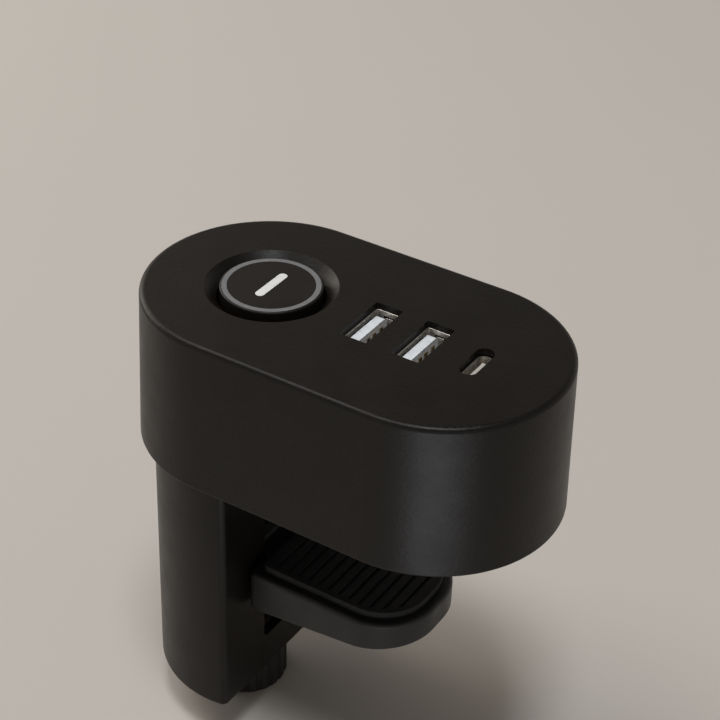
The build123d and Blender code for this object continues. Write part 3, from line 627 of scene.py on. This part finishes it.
# ---------------------------------------------------------------- jaw pad
def ribbed_pad():
    """Rubber pad on the jaw: rounded outline, soft rim and grooves across the grip face."""
    low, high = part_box("jaw_pad")
    pad = block("jaw_pad_ribbed", low, high)
    bevel_edges(pad, lambda middle, way: middle.x > high.x - 0.1 * MM and upright(middle, way),
                10 * MM, 14)
    bevel_edges(pad, lambda middle, way: middle.x < low.x + 0.1 * MM and upright(middle, way),
                1.5 * MM, 4)
    bevel_edges(pad, level_above(high.z - 0.05 * MM), 0.3 * MM, 3)

    def on_top(centre, normal):
        return normal.z > 0.99 and centre.z > high.z - 0.02 * MM

    pick_faces(pad, on_top)
    bpy.ops.mesh.inset(thickness=0.9 * MM)
    leave_edit()
    plain_end, groove_width, groove_depth = 1.3 * MM, 0.8 * MM, 0.45 * MM
    grooves = [low.x + plain_end + (2.4 * row + 1.6) * MM for row in range(12)]

    def in_field(centre, normal):
        """The strips across the grip face, which all have their middle near y = 0."""
        return (on_top(centre, normal) and abs(centre.y) < 2 * MM
                and low.x + plain_end < centre.x < high.x - plain_end)

    def in_groove(centre, normal):
        return (in_field(centre, normal)
                and any(start < centre.x < start + groove_width for start in grooves))

    for start in grooves:
        for side in (start, start + groove_width):
            pick_faces(pad, in_field)
            bpy.ops.mesh.bisect(plane_co=(side, 0, high.z), plane_no=(1, 0, 0))
            leave_edit()
    pick_faces(pad, in_groove)
    bpy.ops.mesh.extrude_region_move(TRANSFORM_OT_translate={"value": (0, 0, -groove_depth)})
    leave_edit()
    smooth(pad)
    return pad


fit(ribbed_pad(), "jaw", "black_rubber", "jaw_pad")


# ---------------------------------------------------------------- port shells
SHELL_WALL = 0.3 * MM


def shell_blank(name, low, high, corner, segments):
    """A rounded tube of sheet steel, open at both ends."""
    shell = block(name, low, high)
    bevel_edges(shell, upright, corner, segments)
    open_ends(shell)
    apply_modifier(shell, "SOLIDIFY", thickness=SHELL_WALL, offset=-1, use_even_offset=True)
    return shell


def leaf_spring(low, high, push):
    """A thin steel tongue that bows by push towards the plug."""
    spring = block("leaf", low, high)
    bow = {0.25: 0.35, 0.5: 0.8, 0.75: 1.0, 0.9: 0.6}  # share of the height: share of the push
    bends = [(low[2] + (high[2] - low[2]) * up, share) for up, share in bow.items()]
    for height, share in bends:
        cut_level(spring, height)
    for height, share in bends:
        pick_edges(spring, lambda middle, way: abs(middle.z - height) < 0.01 * MM
                   and level(middle, way))
        bpy.ops.transform.translate(value=Vector(push) * share)
        leave_edit()
    apply_modifier(spring, "BEVEL", width=0.06 * MM, segments=2, limit_method="ANGLE")
    return spring


def formed_shell():
    """Folded USB-A shell: wall with a rolled mouth, cut-outs and the leaf springs in them."""
    low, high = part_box("usb_a_shell_1")
    middle_x = centre_line(low, high)[0]
    half_x, half_y = (high.x - low.x) / 2, (high.y - low.y) / 2
    corner = 2 * SHELL_WALL
    shell = shell_blank("usb_a_shell_1_formed", low, high, corner, 4)

    def on_outline(middle, way):
        """The inner and outer edge of the mouth, not the short edges across the wall."""
        out = math.hypot(max(abs(middle.x - middle_x) - half_x + corner, 0),
                         max(abs(middle.y) - half_y + corner, 0))
        return (middle.z > high.z - 0.01 * MM and level(middle, way)
                and abs(out - 1.5 * SHELL_WALL) > 0.3 * SHELL_WALL)

    bevel_edges(shell, on_outline, 0.1 * MM, 3)

    top, foot = high.z - 1.0 * MM, high.z - 7.4 * MM
    spring_top, spring_foot = top - 0.35 * MM, foot - 0.1 * MM
    reach, sheet = 0.6 * MM, 0.2 * MM  # of a cut to either side of the wall; of a spring
    springs = []
    for side in (-1, 1):
        face = middle_x + side * (half_x - SHELL_WALL)
        inner, outer = sorted((face, face + side * sheet))
        for y in (-3.0 * MM, 3.0 * MM):
            cut_out(shell, (face - reach, y - 1.35 * MM, foot), (face + reach, y + 1.35 * MM, top))
            springs.append(leaf_spring((inner, y - 1.0 * MM, spring_foot),
                                       (outer, y + 1.0 * MM, spring_top),
                                       (-side * 0.3 * MM, 0, 0)))
        end = side * (half_y - SHELL_WALL)
        inner, outer = sorted((end, end + side * sheet))
        cut_out(shell, (middle_x - 1.15 * MM, end - reach, foot),
                (middle_x + 1.15 * MM, end + reach, top))
        springs.append(leaf_spring((middle_x - 0.8 * MM, inner, spring_foot),
                                   (middle_x + 0.8 * MM, outer, spring_top),
                                   (0, -side * 0.25 * MM, 0)))
    whole = join("usb_a_shell_1_formed", [shell, *springs])
    smooth(whole)
    return whole


def drawn_shell():
    """Drawn steel shell of the USB-C port, with a rounded mouth."""
    low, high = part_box("usb_c_shell")
    shell = shell_blank("usb_c_shell_drawn", low, high, (high.x - low.x) / 2 - 0.005 * MM, 12)
    bevel_edges(shell, level_above(high.z - 0.01 * MM), 0.12 * MM, 4)
    smooth(shell)
    return shell


first_shell = formed_shell()
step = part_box("usb_a_shell_2")[0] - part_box("usb_a_shell_1")[0]
second_shell = copy_along(first_shell, "usb_a_shell_2_formed", step)
fit(first_shell, "unit", "port_steel", "usb_a_shell_1")
fit(second_shell, "unit", "port_steel", "usb_a_shell_2")
fit(drawn_shell(), "unit", "port_steel", "usb_c_shell")


# ---------------------------------------------------------------- return spring
spring_low, spring_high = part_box("return_spring")
free_length = spring_high.z - spring_low.z


def coil_spring():
    """Compression spring under the power button."""
    wire_radius, turns = 0.35 * MM, 6
    reach = (spring_high.y - spring_low.y) / 2 - wire_radius
    clear_bench()
    bpy.ops.mesh.primitive_circle_add(vertices=14, radius=wire_radius,
                                      rotation=(math.pi / 2, 0, 0), location=(reach, 0, 0))
    spring = name_new("return_spring_coiled")
    apply_place(spring)
    apply_modifier(spring, "SCREW", axis="Z", angle=2 * math.pi, iterations=turns,
                   screw_offset=(free_length - 2 * wire_radius) / turns,
                   steps=56, render_steps=56, use_smooth_shade=True)
    pick_all(spring)
    bpy.ops.mesh.remove_doubles(threshold=WELD)
    bpy.ops.mesh.fill_holes(sides=0)
    leave_edit()
    even_normals(spring)
    spring.location = (*centre_line(spring_low, spring_high), spring_low.z + wire_radius)
    apply_place(spring)
    smooth(spring, 50)
    return spring


spring = fit(coil_spring(), "unit", "spring_steel", "return_spring")
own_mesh(spring)


# ---------------------------------------------------------------- stage, light and camera
def plain_floor(size=6, fade_from=0.7, fade_to=1.3):
    """Pale paper under the object, seen from above only, fading into the room far off."""
    clear_bench()
    bpy.ops.mesh.primitive_plane_add(size=size, location=(0, 0, table))
    bpy.ops.object.transform_apply(location=True)
    floor = name_new("floor")
    made = Finish("floor_paper", (0.52, 0.49, 0.455), 0.9, specular=0.1)
    made.vary_colour(made.span(made.noise(0.05, 3), 0.0, 0.15, 0.4, 0.7), (0.5, 0.475, 0.445))
    reach = made.node("VectorMath", operation="LENGTH")
    made.feed(reach, 0, made.place)
    blend = made.node("MixShader")
    underside = made.node("NewGeometry").outputs["Backfacing"]
    far_off = made.span(reach.outputs["Value"], 0.0, 1.0, fade_from, fade_to)
    made.feed(blend, 0, made.combine("MAXIMUM", far_off, underside))
    made.feed(blend, 1, made.shader.outputs["BSDF"])
    made.feed(blend, 2, made.node("BsdfTransparent").outputs["BSDF"])
    made.feed(made.tree.nodes["Material Output"], "Surface", blend.outputs["Shader"])
    floor.data.materials.append(made.material)


def plain_room(wall, ceiling, wall_top=0.27, ceiling_foot=0.52):
    """Even light from all round: a pale wall up to a low height, and a dimmer ceiling."""
    world = bpy.data.worlds.new("room")
    bpy.context.scene.world = world
    world.use_nodes = True
    tree = world.node_tree
    height = tree.nodes.new("ShaderNodeSeparateXYZ")
    tree.links.new(tree.nodes.new("ShaderNodeTexCoord").outputs["Generated"], height.inputs[0])
    fade = tree.nodes.new("ShaderNodeMapRange")
    fade.inputs["From Min"].default_value = wall_top
    fade.inputs["From Max"].default_value = ceiling_foot
    tree.links.new(height.outputs["Z"], fade.inputs["Value"])
    paint = tree.nodes.new("ShaderNodeMix")
    paint.data_type = "RGBA"
    paint.inputs[MIX_FIRST].default_value = (*wall, 1)
    paint.inputs[MIX_SECOND].default_value = (*ceiling, 1)
    tree.links.new(fade.outputs["Result"], paint.inputs[MIX_AMOUNT])
    tree.links.new(paint.outputs[MIX_RESULT], tree.nodes["Background"].inputs["Color"])


def softbox(name, place, aim, size, power, colour):
    """A soft square lamp at place, turned towards aim."""
    light = bpy.data.lights.new(name, "AREA")
    light.shape = "SQUARE"
    light.size = size
    light.energy = power
    light.color = colour
    holder = bpy.data.objects.new(name, light)
    bpy.context.scene.collection.objects.link(holder)
    holder.location = place
    holder.rotation_euler = (Vector(aim) - Vector(place)).to_track_quat("-Z", "Y").to_euler()
    holder.visible_camera = False


plain_floor()
plain_room(wall=(0.46, 0.44, 0.415), ceiling=(0.125, 0.117, 0.108))
softbox("window_left", (-1.0, 0.1, 0.34), (0, 0, 0.015), 0.6, 3.2, (1.0, 0.92, 0.84))
softbox("window_back", (-1.3, 0.85, 0.85), (0, 0, 0), 0.6, 1.5, (1.0, 0.88, 0.76))
softbox("front_card", (0.11, -0.15, table + 0.001), (0.11, -0.15, 1), 0.12, 0.14,
        (0.88, 0.92, 1.0))
softbox("lamp_right", (0.28, -0.46, 2.0), (0, 0, 0), 0.45, 19.0, (0.95, 0.97, 1.0))
softbox("lamp_left", (-0.9, -0.3, 1.75), (0, 0, 0), 1.0, 14.0, (1.0, 0.96, 0.92))

forward = Vector((-0.4326, 0.7095, -0.5563)).normalized()
rightward = Vector((0.8429, 0.5372, 0.0297)).normalized()
upward = rightward.cross(forward).normalized()
step_back = 0.028
lens_place = Vector((0.1404, -0.2277, 0.2048)) - forward * step_back
lens = bpy.data.cameras.new("camera")
lens.lens = 93.5
lens.sensor_width = 36
lens.shift_y = -0.018
lens.clip_start = 0.01
lens.clip_end = 20
camera = bpy.data.objects.new("camera", lens)
bpy.context.scene.collection.objects.link(camera)
facing = Matrix((rightward, upward, -forward)).transposed().to_4x4()
camera.matrix_world = Matrix.Translation(lens_place) @ facing
bpy.context.scene.camera = camera
bpy.context.scene.view_settings.view_transform = "Standard"
